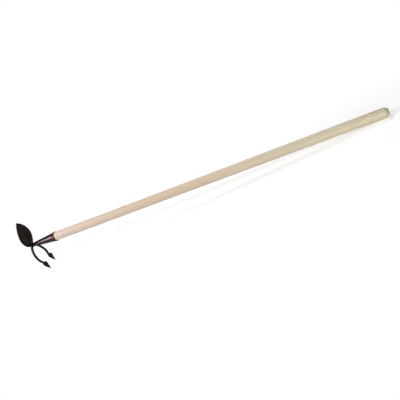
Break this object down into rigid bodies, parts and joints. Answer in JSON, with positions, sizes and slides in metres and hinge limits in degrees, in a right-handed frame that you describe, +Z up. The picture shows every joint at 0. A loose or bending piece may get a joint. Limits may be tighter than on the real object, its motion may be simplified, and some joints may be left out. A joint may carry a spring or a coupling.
{
  "type": "long-handled hoe and fork cultivator",
  "caption": "Hand cultivator: a long round wooden handle in a conical steel socket, with a leaf-shaped hoe blade on one side of the head and a fork with arrowhead points on the other.",
  "frame": {"origin": "centre of the ground area that the tool covers when it lies at rest on its points and its grip end; the tool is above the origin plane", "axes": "+X runs from the head along the handle to the grip end, +Y to the right seen from the grip, +Z up; the handle slopes down towards the grip by about 4 degrees"},
  "size_m": [1.2312, 0.0762, 0.1947],
  "materials": {
    "wood": "pale turned wood, fine sanded, thin clear varnish",
    "lacquered_steel": "dark brown lacquer, satin",
    "weld_metal": "rippled weld under dark brown lacquer",
    "zinc_steel": "bright zinc plating, slightly dulled"
  },
  "bodies": {
    "root": {"handle": "wood", "socket": "lacquered_steel", "socket_screw": "zinc_steel", "blade": "lacquered_steel", "fork": "lacquered_steel", "point_left": "lacquered_steel", "point_right": "lacquered_steel", "blade_weld": "weld_metal", "foot_weld": "weld_metal", "fork_weld": "weld_metal", "point_weld_left": "weld_metal", "point_weld_right": "weld_metal"}
  },
  "joints": []
}
